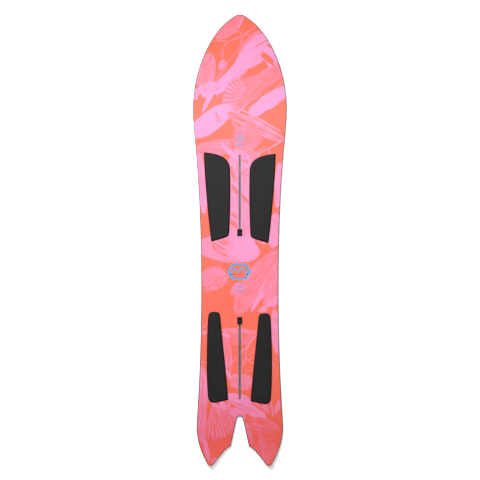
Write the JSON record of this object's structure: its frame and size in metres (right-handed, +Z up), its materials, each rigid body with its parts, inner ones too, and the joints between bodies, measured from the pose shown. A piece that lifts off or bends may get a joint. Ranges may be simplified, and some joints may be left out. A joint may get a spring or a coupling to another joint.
{
  "type": "snowboard",
  "caption": "Swallow-tailed powder snowboard with a laminated deck, steel edges, centre T-slot binding tracks with lift-out end plugs, and foam traction pads.",
  "frame": {"origin": "mid length and mid width of the board, on the plane that the flat of the base rests on", "axes": "+Y to the nose, +X to the right of a rider facing the nose, +Z up out of the deck"},
  "size_m": [0.33, 1.578, 0.0564],
  "materials": {
    "polyethylene": "waxed sintered sheet",
    "steel": "ground",
    "edge_rubber": "matt",
    "glass_laminate": "cured resin on glass fibre",
    "core_wood": "planed",
    "abs": "sanded",
    "printed_nylon": "satin, coral and pink print",
    "rail_aluminium": "anodised, satin",
    "plug_nylon": "moulded, matt",
    "pad_foam": "closed-cell foam, matt",
    "pad_adhesive": "acrylic adhesive film"
  },
  "bodies": {
    "board": {"base_sheet": "polyethylene", "steel_edge_left": "steel", "steel_edge_right": "steel", "steel_edge_notch": "steel", "edge_rubber_left": "edge_rubber", "edge_rubber_right": "edge_rubber", "edge_rubber_notch": "edge_rubber", "lower_glass": "glass_laminate", "core_stringer_left": "core_wood", "core_stringer_right": "core_wood", "core_block_front": "core_wood", "core_block_middle": "core_wood", "core_block_rear": "core_wood", "sidewall_left": "abs", "sidewall_right": "abs", "sidewall_notch": "abs", "nose_spacer": "abs", "tail_spacer_left": "abs", "tail_spacer_right": "abs", "upper_glass": "glass_laminate", "topsheet": "printed_nylon", "front_track_rail_left": "rail_aluminium", "front_track_rail_right": "rail_aluminium", "front_track_floor": "rail_aluminium", "rear_track_rail_left": "rail_aluminium", "rear_track_rail_right": "rail_aluminium", "rear_track_floor": "rail_aluminium", "front_pad_left": "pad_foam", "front_pad_right": "pad_foam", "rear_pad_left": "pad_foam", "rear_pad_right": "pad_foam", "front_pad_adhesive_left": "pad_adhesive", "front_pad_adhesive_right": "pad_adhesive", "rear_pad_adhesive_left": "pad_adhesive", "rear_pad_adhesive_right": "pad_adhesive"},
    "front_plug": {"front_track_plug": "plug_nylon"},
    "rear_plug": {"rear_track_plug": "plug_nylon"}
  },
  "joints": [
    {"name": "front_plug_lift", "type": "slide", "parent": "board", "child": "front_plug", "axis": [0, 0, 1], "range_m": [0, 0.03]},
    {"name": "rear_plug_lift", "type": "slide", "parent": "board", "child": "rear_plug", "axis": [0, 0, 1], "range_m": [0, 0.03]}
  ]
}
